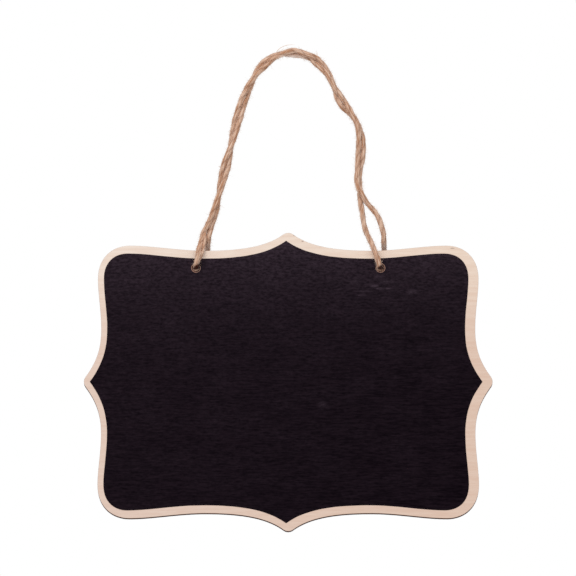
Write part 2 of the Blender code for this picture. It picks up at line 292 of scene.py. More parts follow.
def spread_in_holes(points, path):
    """Rings of a twine widened where their middles pass through the board: by the spread's shares on
    the board's middle plane, falling by a squared cosine to nothing at its reach. Points within the
    board's thickness are held inside the hole."""
    depth = np.clip(path[:, 1] / SPREAD_REACH, -1, 1)
    at_hole = np.abs(path[:, 0]) > HOLE_HALF_SPACING - SPREAD_REACH
    near = at_hole & (path[:, 2] < HOLE_HEIGHT + SPREAD_REACH)
    widening = (np.cos(depth * math.pi / 2) ** 2 * near)[:, None, None] * SPREAD_SHARES
    spread = points + widening * (points - path[:, None, :])
    axis = np.stack((np.copysign(HOLE_HALF_SPACING, spread[..., 0]), spread[..., 1],
                     np.full(spread.shape[:2], HOLE_HEIGHT)), axis=-1)
    aside = spread - axis
    far = np.linalg.norm(aside, axis=2)
    inside = (np.abs(spread[..., 1]) < HELD_DEPTH) & near[:, None] & (far < 2 * HELD_RADIUS)
    share = np.where(inside, HELD_RADIUS / np.maximum(far, HELD_RADIUS), 1)
    return axis + share[..., None] * aside


def grid_faces(rows, columns, wrap_rows=False):
    """Quads of a grid whose columns go round: each joins a point to the next one round and along."""
    row = np.arange(rows if wrap_rows else rows - 1)[:, None]
    column = np.arange(columns)[None, :]
    after, beside = (row + 1) % rows, (column + 1) % columns
    quads = np.stack((row * columns + column, row * columns + beside,
                      after * columns + beside, after * columns + column), axis=-1)
    return quads.reshape(-1, 4)


def add_mesh(name, points, faces, smooth=True):
    """A mesh object at the origin, from points and faces, with its faces turned outward."""
    mesh = bpy.data.meshes.new(name)
    mesh.from_pydata(points.tolist(), [], [tuple(face) for face in faces])
    item = bpy.data.objects.new(name, mesh)
    bpy.context.scene.collection.objects.link(item)
    work = bmesh.new()
    work.from_mesh(mesh)
    bmesh.ops.recalc_face_normals(work, faces=work.faces)
    work.to_mesh(mesh)
    work.free()
    mesh.polygons.foreach_set("use_smooth", [smooth] * len(mesh.polygons))
    return item


def add_values(item, name, values):
    """A number, or a place of three numbers, for each point of a mesh."""
    values = np.asarray(values, np.float32)
    kind, field = ("FLOAT", "value") if values.ndim == 1 else ("FLOAT_VECTOR", "vector")
    attribute = item.data.attributes.new(name, kind, "POINT")
    attribute.data.foreach_set(field, values.ravel())


def add_twine(name, path, diameter, seed, closed=False, **shape):
    """A length of twine as one closed mesh: rings, and a point in the middle of each end."""
    points, place, groove = laid_twine(path, diameter, seed, closed, **shape)
    if closed:
        points, place, groove = points[:-1], place[:-1], groove[:-1]
    rows = len(points)
    last = (rows - 1) * AROUND
    column = np.arange(AROUND)
    beside = (column + 1) % AROUND
    faces = grid_faces(rows, AROUND, wrap_rows=closed)
    flat, flat_place, flat_groove = points.reshape(-1, 3), place.reshape(-1, 3), groove.ravel()
    if closed:
        shift = closing_shift(points)
        faces[last:] = np.column_stack((last + column, last + beside, (beside + shift) % AROUND,
                                        (column + shift) % AROUND))
        faces = faces.tolist()
    else:
        first_end = np.column_stack((np.full(AROUND, len(flat)), beside, column))
        last_end = np.column_stack((np.full(AROUND, len(flat) + 1), last + column, last + beside))
        faces = faces.tolist() + first_end.tolist() + last_end.tolist()
        flat = np.vstack((flat, path[0], path[-1]))
        flat_place = np.vstack((flat_place, flat_place[0], flat_place[-1]))
        flat_groove = np.concatenate((flat_groove, np.zeros(2)))
    item = add_mesh(name, flat, faces)
    add_values(item, "twine_place", flat_place)
    add_values(item, "groove", flat_groove)
    print(name, len(item.data.vertices), "points,", len(item.data.polygons), "faces")
    return item


def closing_shift(points):
    """How many places round the last ring is turned from the first: none, or half of them."""
    half = AROUND // 2
    straight = np.linalg.norm(points[-1] - points[0], axis=1).sum()
    turned = np.linalg.norm(points[-1] - np.roll(points[0], -half, axis=0), axis=1).sum()
    return half if turned < straight else 0


jute_twine = add_twine("jute_twine", twine_path, TWINE_DIAMETER, seed=11)

# %% [markdown]
# The two ends are joined by a knot drawn tight behind the left hole, with two short tails. The knot
# is a three-lobed line that passes over and under itself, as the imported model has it. The tails get
# thinner where the plies open, and a tuft of fibres ends each one.

# %% Knot and tails
KNOT_DIAMETER = 2.2 * MM
KNOT_RADIUS = 2.85 * MM
KNOT_SWAY = 1.3 * MM
KNOT_RISE = 1.4 * MM
KNOT_POINTS = 240
TAIL_A_ROUTE = (
    (-0.04675, 0.0050, -0.1097), (-0.04740, 0.0050, -0.1121), (-0.04840, 0.0050, -0.1155),
    (-0.04980, 0.0049, -0.1187), (-0.05140, 0.0051, -0.1222), (-0.05240, 0.0050, -0.1251),
)
TAIL_B_ROUTE = (
    (-0.04525, 0.0049, -0.1092), (-0.04455, 0.0049, -0.1116), (-0.04385, 0.0048, -0.1156),
    (-0.04350, 0.0050, -0.1185), (-0.04370, 0.0052, -0.1213),
)
TAIL_NARROWING = 0.35
TAIL_NARROW_LENGTH = 5 * MM

knot_low, knot_high = (np.array(corner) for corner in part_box("twine_knot"))
knot_middle = (knot_low + knot_high) / 2
t = np.linspace(0, 2 * math.pi, KNOT_POINTS + 1)
knot_reach = KNOT_RADIUS + KNOT_SWAY * np.cos(3 * t)
knot_path = np.column_stack((knot_reach * np.cos(2 * t), KNOT_RISE * np.sin(3 * t),
                             knot_reach * np.sin(2 * t)))
knot_path += knot_middle - (knot_path.min(0) + knot_path.max(0)) / 2
twine_knot = add_twine("tight_knot", knot_path, KNOT_DIAMETER, seed=12, closed=True)
tail_paths = [smooth_path(route, 3, RING_SPACING) for route in (TAIL_A_ROUTE, TAIL_B_ROUTE)]
tails = [add_twine(name, path, TWINE_DIAMETER, seed, narrowing=TAIL_NARROWING,
                   narrow_length=TAIL_NARROW_LENGTH)
         for name, path, seed in (("tail_long", tail_paths[0], 13), ("tail_short", tail_paths[1], 14))]

# %% [markdown]
# Where the left front lead bends over the board's top edge, its lay has opened: a ply stands off it
# between the two leads, and lies against it again above the hole. It is a thinner twine of its own.

# %% Loose ply
LOOSE_PLY_DIAMETER = 1.6 * MM
LOOSE_PLY_ROUTE = (
    (-0.04162, -0.0003, -0.0887), (-0.04170, -0.0012, -0.0914), (-0.04202, -0.0026, -0.0946),
    (-0.04258, -0.0035, -0.0973), (-0.04312, -0.0040, -0.0994), (-0.04385, -0.0042, -0.1015),
    (-0.04470, -0.0040, -0.1035),
)
loose_ply = add_twine("loose_ply", smooth_path(LOOSE_PLY_ROUTE, 3, RING_SPACING), LOOSE_PLY_DIAMETER,
                      seed=15, narrowing=TAIL_NARROWING, narrow_length=TAIL_NARROW_LENGTH)

# %% [markdown]
# Jute is hairy: a short pale fringe softens its outline, longer fibre ends stand off it here and there,
# and three long ones leave the loop near its top and on its left. Each is a very thin three-sided tube,
# the fringe is one mesh and the longer ones another. Particle hair would look as good here, but it
# isn't a mesh and would be lost when the model is exported.

# %% Fibres as thin tubes
FIBRE_RADIUS = 0.030 * MM
FIBRE_POINTS = 7
FIBRE_RISE_DROP = 0.35
FIBRE_TAPER = 0.75


def fibre_tubes(bases, ways, outs, lengths, curls, radius, places=FIBRE_POINTS):
    """Thin tubes, whole arrays at once. At share t of its length a fibre has gone L t along its
    way, rises off the twine by the parabola of its out vector, and bends aside by its curl times
    t squared. Three points round each place, drawn in to a tip, make the tube."""
    t = np.linspace(0, 1, places)[None, :, None]
    lengths = np.asarray(lengths)[:, None, None]
    rise = t - FIBRE_RISE_DROP * t**2
    line = bases[:, None, :] + lengths * (t * ways[:, None, :] + rise * outs[:, None, :]
                                          + t**2 * curls[:, None, :])
    along = unit(np.gradient(line, axis=1))
    helper = np.eye(3)[np.argmin(np.abs(along[:, 0]), axis=1)][:, None, :]
    side = unit(np.cross(along, helper))
    up = np.cross(along, side)
    thin = np.reshape(radius, (-1, 1, 1, 1)) * (1 - FIBRE_TAPER * t[..., None] ** 2)
    angles = 2 * math.pi * np.arange(3) / 3
    ring = np.cos(angles)[:, None] * side[:, :, None, :] + np.sin(angles)[:, None] * up[:, :, None, :]
    points = line[:, :, None, :] + thin * ring
    quads = grid_faces(places, 3)
    last = (places - 1) * 3
    starts = (np.arange(len(bases)) * places * 3)[:, None, None]
    sides = (starts + quads[None]).reshape(-1, 4).tolist()
    caps = (starts + np.array([[[0, 2, 1], [last, last + 1, last + 2]]])).reshape(-1, 3).tolist()
    return points.reshape(-1, 3), sides + caps


# %% [markdown]
# The fibres leave the twine at random places. A beta draw for how far one leans out and a gamma draw
# for its length, in millimetres, give many short flat fibres and a few long ones. The fringe is denser
# and stands off more. Some more fibres fill the drilled holes, so no clean gap shows round the twine.

# %% Loose fibres and fringe
FIBRE_COUNT = 3600
FIBRE_LIMITS = (0.6, 5.0)
FIBRE_CURL = 0.28
FRINGE_COUNT = 14000
FRINGE_POINTS = 3
FRINGE_RADIUS = 0.038 * MM
FRINGE_LEAN = (0.35, 0.95)
FRINGE_LIMITS = (0.5, 3.0)
FRINGE_CURL = 0.25
FREE_RINGS = 20
ROOT_SHARE = 0.44
FLUFF_COUNT = 130
FLUFF_ROOT_SHARE = 0.40
FLUFF_DEPTH = 1.8 * MM
FLUFF_BELOW_SWING = 12 * MM
FLUFF_ASIDE = 0.5
FLUFF_RISE = 0.45
FLUFF_LENGTHS = (0.7, 1.3)
FLUFF_CURL = 0.3
# Each long fibre is its start, its way, its rise and its curl, as the photograph shows them
LONG_FIBRES = np.array((
    ((-0.0058, -0.0002, 0.0034), (0.60, 0.0, 0.85), (0.0, 0.0, 0.0), (0.35, 0.0, -0.47)),
    ((0.0144, -0.0002, 0.0006), (0.25, 0.0, 0.95), (0.0, 0.0, 0.0), (-0.35, 0.0, 0.05)),
    ((-0.0326, -0.0002, -0.0552), (-0.98, 0.0, 0.05), (0.0, 0.0, 0.0), (0.10, 0.0, 0.05)),
))
LONG_LENGTHS = np.array((9.5, 3.6, 2.8)) * MM
LONG_RADIUS = 0.18 * MM
random = np.random.default_rng(21)
along, side, up = carried_frame(twine_path)


def outward_at(rings, count):
    """Ways out of the twine at some of its rings, each at an angle picked at random."""
    angles = random.uniform(0, 2 * math.pi, count)
    return np.cos(angles)[:, None] * side[rings] + np.sin(angles)[:, None] * up[rings]


def picked_on_twine(count):
    """Roots on the twine's surface, the ways out there, and the ways along, either way."""
    rings = random.integers(FREE_RINGS, len(twine_path) - FREE_RINGS, count)
    outward = outward_at(rings, count)
    heading = along[rings] * random.choice((-1, 1), count)[:, None]
    return twine_path[rings] + ROOT_SHARE * TWINE_DIAMETER * outward, outward, heading


bases, outward, heading = picked_on_twine(FIBRE_COUNT)
lean = random.beta(1.4, 5.0, FIBRE_COUNT)[:, None]
curls = FIBRE_CURL * random.normal(size=(FIBRE_COUNT, 3))
lengths = random.gamma(2.6, 0.62, FIBRE_COUNT).clip(*FIBRE_LIMITS) * MM
through = np.abs(twine_path[:, 1]) < FLUFF_DEPTH
in_hole = np.flatnonzero(through & (twine_path[:, 2] < HINGE_HEIGHT - FLUFF_BELOW_SWING))
fluff_rings = random.choice(in_hole, FLUFF_COUNT)
fluff_out = outward_at(fluff_rings, FLUFF_COUNT)
fluff_bases = twine_path[fluff_rings] + FLUFF_ROOT_SHARE * TWINE_DIAMETER * fluff_out
fluff_way = FLUFF_ASIDE * np.cross(fluff_out, along[fluff_rings])
fluff_lengths = random.uniform(*FLUFF_LENGTHS, FLUFF_COUNT) * MM
fluff_curls = FLUFF_CURL * random.normal(size=(FLUFF_COUNT, 3))
radii = np.full(FIBRE_COUNT + FLUFF_COUNT + len(LONG_FIBRES), FIBRE_RADIUS)
radii[-len(LONG_FIBRES):] = LONG_RADIUS
points, faces = fibre_tubes(
    np.vstack((bases, fluff_bases, LONG_FIBRES[:, 0])),
    np.vstack((heading * (1 - lean), fluff_way, LONG_FIBRES[:, 1])),
    np.vstack((outward * lean, FLUFF_RISE * fluff_out, LONG_FIBRES[:, 2])),
    np.concatenate((lengths, fluff_lengths, LONG_LENGTHS)),
    np.vstack((curls, fluff_curls, LONG_FIBRES[:, 3])), radii)
loose_fibres = add_mesh("loose_fibres", points, faces, smooth=False)

bases, outward, heading = picked_on_twine(FRINGE_COUNT)
lean = random.uniform(*FRINGE_LEAN, FRINGE_COUNT)[:, None]
lengths = random.gamma(5.0, 0.28, FRINGE_COUNT).clip(*FRINGE_LIMITS) * MM
curls = FRINGE_CURL * random.normal(size=(FRINGE_COUNT, 3))
points, faces = fibre_tubes(bases, heading * (1 - lean), outward * lean, lengths, curls, FRINGE_RADIUS,
                            FRINGE_POINTS)
short_fringe = add_mesh("short_fringe", points, faces, smooth=False)
print("loose fibres:", len(loose_fibres.data.polygons), "faces, fringe:", len(short_fringe.data.polygons))

# %% [markdown]
# The twine is painted dark where it bends into a hole: a painted shadow for the shade inside the hole. It
# is painted pale under the top of the loop and on the leads behind the board's upper edge: painted light
# where it lies in shade. Both are numbers that each point of the mesh carries, so that the finish can read
# them and they stay in place when the twine bends. A painted image would do the same, but it needs an
# unwrapped surface.

# %% Painted shadow and painted light on the twine
# The painted shadow's limits are in millimetres from the hole's axis and from the board's middle plane
SHADOW_FRONT, SHADOW_BEHIND, SHADOW_REACH = 6.0, 2.0, 4.0
SHADOW_LINE_HEIGHT, SHADOW_LINE_SLOPE, SHADOW_LINE_SOFT = 0.9, 0.7, 0.8
SHADOW_ARC_DEPTH, SHADOW_ARC_BEND, SHADOW_ARC_SOFT = 1.15, 0.22, 0.5
SHADOW_LEAST = 0.30
# Painted light: stretches of twine that lie in shade are painted pale.
PALE_STRETCH_MIDDLE = np.array((2.0, -0.6)) * MM
PALE_STRETCH_SIZE = np.array((8.5, 3.0)) * MM
PALE_STRETCH_RISE = 1.6
LIT_LEAD_RISE = 1.4
LIT_LEAD_HEIGHT = -95.5 * MM
LIT_LEAD_REACH = 4.5 * MM
LIT_LEAD_SHARE = 0.35


def painted_hole_shadow(points):
    """How much painted shadow a point gets where the twine bends into one of the board's two holes, from 0
    to 1: the shade inside the hole, painted as dark colour. The dark part starts at a line that climbs to
    the right across the hole, is least dark below an arc near the hole's lower rim, and fades over the
    last millimetre of its reach from the axis, in front of the board and behind it."""
    right = (points[:, 0] - np.copysign(HOLE_HALF_SPACING, points[:, 0])) / MM
    above = (points[:, 2] - HOLE_HEIGHT) / MM
    behind = points[:, 1] / MM
    depth = np.clip(SHADOW_FRONT + behind, 0, 1) * np.clip(SHADOW_BEHIND - behind, 0, 1)
    line = SHADOW_LINE_HEIGHT + SHADOW_LINE_SLOPE * right
    arc = SHADOW_ARC_BEND * right**2 - SHADOW_ARC_DEPTH
    below_line = np.clip((line - above) / SHADOW_LINE_SOFT + 0.5, 0, 1)
    above_arc = np.clip((above - arc) / SHADOW_ARC_SOFT + 0.5, SHADOW_LEAST, 1)
    return depth * below_line * above_arc * np.clip(SHADOW_REACH - np.hypot(right, above), 0, 1)


def pale_and_painted_light(points):
    """How much a point is painted pale and grey, from 0 to 1, as painted light where the twine lies in
    shade. On the stretch under the top of the loop, which is paler and lies in the top strand's shadow, it
    fades with the distance from the stretch's middle, in shares of its half sizes. The leads behind the
    board are painted paler too, in a band at the board's upper edge, where the board and the front leads
    shade them."""
    shares = (points[:, (0, 2)] - PALE_STRETCH_MIDDLE) / PALE_STRETCH_SIZE
    top = np.clip(PALE_STRETCH_RISE - PALE_STRETCH_RISE * np.linalg.norm(shares, axis=1), 0, 1)
    band = np.clip(LIT_LEAD_RISE - np.abs(points[:, 2] - LIT_LEAD_HEIGHT) / LIT_LEAD_REACH, 0, 1)
    return np.maximum(top, LIT_LEAD_SHARE * band * np.clip(points[:, 1] / MM, 0, 1))


def places_of(item):
    """The places of a mesh's points."""
    places = np.empty(3 * len(item.data.vertices))
    item.data.vertices.foreach_get("co", places)
    return places.reshape(-1, 3)


# Painted shadow: the twine and its hairs are painted dark inside and near the holes.
for item in (jute_twine, loose_fibres, short_fringe):
    shadow_share = painted_hole_shadow(places_of(item))
    add_values(item, "painted_hole_shadow", shadow_share)
    print(item.name, "has", int((shadow_share > 0).sum()), "soiled points")
# Painted light on the shaded stretches, stored for the finish.
add_values(jute_twine, "pale_and_painted_light", pale_and_painted_light(places_of(jute_twine)))

# %% [markdown]
# Each tail ends in a tuft, where the plies have come apart. Its fibres start in a small cloud round the
# cut end and fan out along the tail.

# %% Frayed ends
TUFT_COUNT = 46
TUFT_RADIUS = 1.4 * FIBRE_RADIUS
TUFT_SET_BACK = 0.6 * MM
TUFT_ROOTS = np.array((1, 0.5, 0.6))
TUFT_ROOT_SPREAD = 0.55 * MM
TUFT_FAN = np.array((0.45, 0.30, 0.30))
TUFT_LENGTHS = (2.0, 4.6)
TUFT_CURL = 0.25

tuft_parts = []
for path in tail_paths:
    way = unit(path[-1] - path[-4])
    fan = random.normal(size=(TUFT_COUNT, 3)) * TUFT_FAN
    cloud = TUFT_ROOT_SPREAD * random.normal(size=(TUFT_COUNT, 3)) * TUFT_ROOTS
    roots = path[-1] - TUFT_SET_BACK * way + cloud
    lengths = random.uniform(*TUFT_LENGTHS, TUFT_COUNT) * MM
    curls = TUFT_CURL * random.normal(size=(TUFT_COUNT, 3))
    tuft_parts.append((roots, np.broadcast_to(way, roots.shape), fan, lengths, curls))
points, faces = fibre_tubes(*(np.concatenate(column) for column in zip(*tuft_parts)), TUFT_RADIUS)
frayed_ends = add_mesh("frayed_ends", points, faces)
print("frayed ends:", len(frayed_ends.data.polygons), "faces")

# %% [markdown]
# The twine bends where the loop leaves the board. The twine, its loose ply and its fibres stay in place as
# they are drawn. The knot, its tails and their tufts stay behind the board and are attached to it.

# %% How the twine rides
for item in (jute_twine, loose_ply, loose_fibres, short_fringe):
    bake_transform(item)
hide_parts("twine_strand_a", "twine_strand_b", "lead_right", "lead_left_front",
            "lead_left_back")
for item, nodes in ((twine_knot, ["twine_knot"]), (tails[0], ["twine_tail_a"]),
                    (tails[1], ["twine_tail_b"]), (frayed_ends, [])):
    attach(item, "board")
    if nodes:
        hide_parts(*nodes)

# %% [markdown]
# The board is cut from three-ply wood. Its outline is one quarter, drawn as curves from the top tip to
# the right tip and mirrored twice, and the rim is that outline grown outward. Every edge of the board
# is a profile carried along this outline, so the plies, the softened corner and the holes all follow.

# %% The plaque's outline
FIELD_SIZE = np.array((195.8, 142.4)) * MM
FIELD_SHIFT = -1.05 * MM
BORDER = 4.1 * MM
BOARD_MIDDLE = -164.2 * MM
OUTLINE_SHARES = np.array((
    (0.0, 1.0), (0.091, 0.909), (0.219, 0.873), (0.4225, 0.873), (0.564, 0.873), (0.693, 0.909),
    (0.808, 0.909), (0.872, 0.909), (0.9295, 0.856), (0.9295, 0.730), (0.9295, 0.623), (0.912, 0.508),
    (0.912, 0.369), (0.912, 0.189), (0.9545, 0.088), (1.0, 0.0),
))
CURVE_STEPS = 22
ARC_STEPS = 12


def quarter_outline():
    """Points and outward normals from the top tip to the right tip, all cubic curves at once: each
    point is the controls weighted by the cubic's four weights, and each normal is the slope turned
    a quarter."""
    controls = OUTLINE_SHARES * FIELD_SIZE / 2
    sets = controls[3 * np.arange(5)[:, None] + np.arange(4)[None, :]]
    t = np.linspace(0, 1, CURVE_STEPS + 1)[:-1]
    s = 1 - t
    weights = np.stack((s**3, 3 * s * s * t, 3 * s * t * t, t**3), axis=1)
    slope_weights = np.stack((s * s, 2 * s * t, t * t), axis=1)
    points = np.einsum("pk,skc->spc", weights, sets).reshape(-1, 2)
    slopes = np.einsum("pk,skc->spc", slope_weights, np.diff(sets, axis=1)).reshape(-1, 2)
    points = np.vstack((points, controls[-1]))
    slopes = np.vstack((slopes, controls[-1] - controls[-2]))
    return points, unit(np.column_stack((-slopes[:, 1], slopes[:, 0])))


def plaque(border):
    """The outline grown outward by border, clockwise from the top tip. At each tip the grown line
    goes round an arc of that radius, between the mirrored normals."""
    points, normals = quarter_outline()
    loop = []
    for side, signs in enumerate(((1, 1), (1, -1), (-1, -1), (-1, 1))):
        order = slice(None, None, -1 if side % 2 else 1)
        corners, outward = points[order] * signs, normals[order] * signs
        axis = unit(corners[0])
        lean = math.acos(float(np.clip(outward[0] @ axis, -1, 1)))
        across = unit(outward[0] - (outward[0] @ axis) * axis)
        angles = np.linspace(-lean, lean, ARC_STEPS + 1)[:-1, None]
        loop.append(corners[0] + border * (np.cos(angles) * axis + np.sin(angles) * across))
        loop.append((corners + border * outward)[:-1])
    return np.vstack(loop)


rim = plaque(BORDER)
print("rim:", len(rim), "points,", (np.ptp(rim, axis=0) / MM).round(1), "mm")

# %% [markdown]
# A ply is a flat plate with two holes. Its outer wall and its holes are profiles carried along loops,
# and its two flat faces are filled between the loops. The outer corners are rounded a little, as
# sanding leaves them, and the drilled holes have a worn, sloping rim on both faces. Booleans would
# also cut the holes, but they leave slivers at the rim, where the light catches.

# %% A ply, from its profiles
HOLE_RADIUS = 2.0 * MM
HOLE_POINTS = 72
CORNER_STEPS = 5
WELD_DISTANCE = 1e-9
INSIDE_SHARE = 0.999
CREASE_ANGLE = math.radians(35)
hole_height = HOLE_HEIGHT - BOARD_MIDDLE


def hole_loop(side, radius):
    """A hole's outline in the board's own plane."""
    angles = 2 * math.pi * np.arange(HOLE_POINTS) / HOLE_POINTS
    return np.column_stack((side * HOLE_HALF_SPACING + radius * np.cos(angles),
                            hole_height + radius * np.sin(angles)))


def carried(profile, loop_of):
    """A profile carried along a loop: for each of its rows of a size and a depth, the loop of that
    size, standing at that depth."""
    rows = []
    for size, depth, _ in profile:
        loop = loop_of(size)
        rows.append(np.column_stack((loop[:, 0], np.full(len(loop), depth), loop[:, 1] + BOARD_MIDDLE)))
    return np.array(rows)


def fill(loops):
    """Triangles of the flat face between an outer loop and its holes: those whose middles don't lie
    inside a hole's ring."""
    flat = np.vstack(loops)
    edges, start = [], 0
    for loop in loops:
        count = len(loop)
        edges += [(start + i, start + (i + 1) % count) for i in range(count)]
        start += count
    found = delaunay_2d_cdt([Vector(point) for point in flat], edges, [], 1, WELD_DISTANCE)
    assert len(found[0]) == len(flat), "the fill added points"
    triangles = np.array(found[2])
    middles = flat[triangles].mean(axis=1)
    keep = np.ones(len(triangles), bool)
    for loop in loops[1:]:
        centre = loop.mean(axis=0)
        radius = np.linalg.norm(loop[0] - centre)
        keep &= np.linalg.norm(middles - centre, axis=1) > radius * INSIDE_SHARE
    return triangles[keep]


def add_plate(name, profile, hole_profile, outer_of=plaque, shift=0.0):
    """A closed plate: an outer wall, two hole walls, and the two faces between their end rings."""
    walls = [carried(profile, outer_of)]
    walls += [carried(hole_profile, lambda size, side=side: hole_loop(side, size)) for side in (-1, 1)]
    walls[0][..., 0] += shift
    browned = [np.repeat([row[2] for row in rows], wall.shape[1])
               for rows, wall in zip((profile, hole_profile, hole_profile), walls)]
    points, faces, ends, start = [], [], ([], []), 0
    for wall in walls:
        rows, columns = wall.shape[:2]
        points.append(wall.reshape(-1, 3))
        faces += (grid_faces(rows, columns) + start).tolist()
        ends[0].append(np.arange(columns) + start)
        ends[1].append(np.arange(columns) + start + (rows - 1) * columns)
        start += rows * columns
    points = np.vstack(points)
    for ring in ends:
        order = np.concatenate(ring)
        faces += order[fill([points[part][:, (0, 2)] for part in ring])].tolist()
    item = add_mesh(name, points, faces)
    item.data.set_sharp_from_angle(angle=CREASE_ANGLE)
    add_values(item, "browned", np.concatenate(browned))
    print(name, len(item.data.polygons), "faces")
    return item


def corner(edge, face, radius, into, least=0.0, most=1.0):
    """A quarter round from the flat face to the wall, as rows of size, depth and browning: the size
    is the edge's, moved into the wood by the radius times one minus the sine, and the depth is the
    face's, moved inward by the radius times one minus the cosine. into is the sign of the way from the
    wall into the wood. The browning rises from its least to its most with the sine squared."""
    angles = np.linspace(0, math.pi / 2, CORNER_STEPS + 1)
    sizes = edge + into * radius * (1 - np.sin(angles))
    depths = face - math.copysign(radius, face) * (1 - np.cos(angles))
    return [tuple(row) for row in zip(sizes, depths, least + (most - least) * np.sin(angles) ** 2)]


# %% [markdown]
# The three plies lie face to face: two pale face veneers with a darker cross ply between them. The
# saw or laser leaves the cross ply a hair lower than its neighbours, which draws a fine line along
# the edge.

# %% The three plies
FRONT_FACE = -2.0 * MM
BACK_FACE = 2.0 * MM
CORE_HALF = 0.6 * MM
ARRIS = 0.12 * MM
FLAT_SUPPORT = 0.5 * MM
HOLE_SLOPE = 0.30 * MM
RING_BROWNING = 0.34
HOLE_BROWNING = 0.48
CORE_RECESS = 0.05 * MM


def face_ply(name, face):
    """A face veneer, rounded on the side that shows, with the holes' sloping rims."""
    inner = math.copysign(CORE_HALF, face)
    outer = [(BORDER - ARRIS - FLAT_SUPPORT, face, 0.0), *corner(BORDER, face, ARRIS, -1),
             (BORDER, inner, 1.0)]
    slope_end = HOLE_RADIUS + HOLE_SLOPE
    holes = [(slope_end + 2 * FLAT_SUPPORT, face, 0.0), (slope_end + FLAT_SUPPORT, face, RING_BROWNING),
             *corner(HOLE_RADIUS, face, HOLE_SLOPE, 1, RING_BROWNING, HOLE_BROWNING),
             (HOLE_RADIUS, inner, 1.0)]
    return add_plate(name, outer, holes)


front_ply = face_ply("front_ply", FRONT_FACE)
back_ply = face_ply("back_ply", BACK_FACE)
core_rows, core_hole_rows = ([(size, depth, 1.0) for depth in (-CORE_HALF, CORE_HALF)]
                             for size in (BORDER - CORE_RECESS, HOLE_RADIUS + CORE_RECESS))
core_ply = add_plate("core_ply", core_rows, core_hole_rows)

# %% [markdown]
# The writing field is chalkboard paint, screened or rolled on through a mask, so its edge is clean but
# not perfect. It is a film a tenth of a millimetre thick with a sloping edge that wavers slightly.

# %% The black field
COAT_FRONT = FRONT_FACE - 0.10 * MM
COAT_SUNK = FRONT_FACE + 0.02 * MM
COAT_SLOPE = 0.07 * MM
COAT_HOLE_RADIUS = HOLE_RADIUS + 0.45 * MM
EDGE_WAVER = 0.05 * MM
EDGE_WAVES = ((23, 0.0), (41, 1.1), (67, 2.3))


def wavering_field(border):
    """The field's outline, moved in and out from the middle by the mean of three waves round it, each
    given by its count and its start."""
    loop = plaque(border + EDGE_WAVER)
    angle = np.arctan2(loop[:, 1], loop[:, 0])
    wave = sum(np.cos(count * angle + start) for count, start in EDGE_WAVES)
    return loop + (EDGE_WAVER * wave / len(EDGE_WAVES))[:, None] * unit(loop)


def coat_edge(size, outward):
    """The film's edge as rows of size, depth and browning: its front, its foot on the wood, and its
    back, sunk a little into the wood. outward is the sign of the way from the film to bare wood."""
    foot = size + outward * COAT_SLOPE
    return [(size, COAT_FRONT, 0.0), (foot, FRONT_FACE, 0.0), (foot, COAT_SUNK, 0.0)]


black_field = add_plate("black_field", coat_edge(0.0, 1), coat_edge(COAT_HOLE_RADIUS, -1),
                        outer_of=wavering_field, shift=FIELD_SHIFT)

for item, node, finish in ((front_ply, "front_veneer", "veneer"), (core_ply, "core_veneer", "core"),
                           (back_ply, "back_veneer", "veneer"),
                           (black_field, "blackboard_coat", "blackboard")):
    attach(item, "board")
    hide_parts(node)

# %% [markdown]
# Every finish is made of nodes. These helpers place a node with its inputs, mix two colours, and start
# a node group whose sockets are named. Colours are written as they look on a screen, from 0 to 255,
# and turned into the linear values that the shader needs.

# %% Helpers for finishes


def screen(red, green, blue):
    """A colour as a screen shows it, turned linear: a low value is divided, a higher one is raised to
    the power 2.4."""
    value = np.array((red, green, blue)) / 255
    linear = np.where(value <= 0.04045, value / 12.92, ((value + 0.055) / 1.055) ** 2.4)
    return (*(float(channel) for channel in linear), 1.0)


def add_node(tree, kind, inputs=(), **settings):
    """One shader node, with its settings and its inputs, each a value or another node's output."""
    node = tree.nodes.new(kind)
    for name, value in settings.items():
        setattr(node, name, value)
    for key, value in dict(inputs).items():
        if isinstance(value, bpy.types.NodeSocket):
            tree.links.new(value, node.inputs[key])
        else:
            node.inputs[key].default_value = value
    return node


def mix(tree, share, first, second, blend="MIX"):
    """Two colours mixed by a share."""
    node = add_node(tree, "ShaderNodeMix", {0: share, 6: first, 7: second}, data_type="RGBA",
                    blend_type=blend)
    return node.outputs[2]


def maths(tree, operation, first, second=0.0, clamp=False):
    """One sum."""
    node = add_node(tree, "ShaderNodeMath", {0: first, 1: second}, operation=operation, use_clamp=clamp)
    return node.outputs[0]


def weighted(tree, *parts):
    """The sum of several values, each times its weight."""
    total = None
    for value, weight in parts:
        part = maths(tree, "MULTIPLY", value, weight)
        total = part if total is None else maths(tree, "ADD", total, part)
    return total


def vector_maths(tree, operation, first, second):
    """One sum of two places, axis by axis."""
    return add_node(tree, "ShaderNodeVectorMath", {0: first, 1: second}, operation=operation).outputs[0]


def noise(tree, place, waves, detail=3.0, roughness=0.6):
    """Soft noise from 0 to 1, with its own number of waves along each axis of the place."""
    stretched = vector_maths(tree, "MULTIPLY", place, waves)
    return add_node(tree, "ShaderNodeTexNoise", {"Vector": stretched, "Scale": 1.0, "Detail": detail,
                                                 "Roughness": roughness}).outputs["Fac"]


def carried_value(tree, name, output="Fac"):
    """What a mesh's points carry under a name."""
    return add_node(tree, "ShaderNodeAttribute", attribute_name=name).outputs[output]


def ramped(tree, value, low, high, to_low=0.0, to_high=1.0):
    """A value between two limits spread smoothly over a new range."""
    return add_node(tree, "ShaderNodeMapRange", {"Value": value, "From Min": low, "From Max": high,
                                                 "To Min": to_low, "To Max": to_high},
                    interpolation_type="SMOOTHSTEP").outputs["Result"]


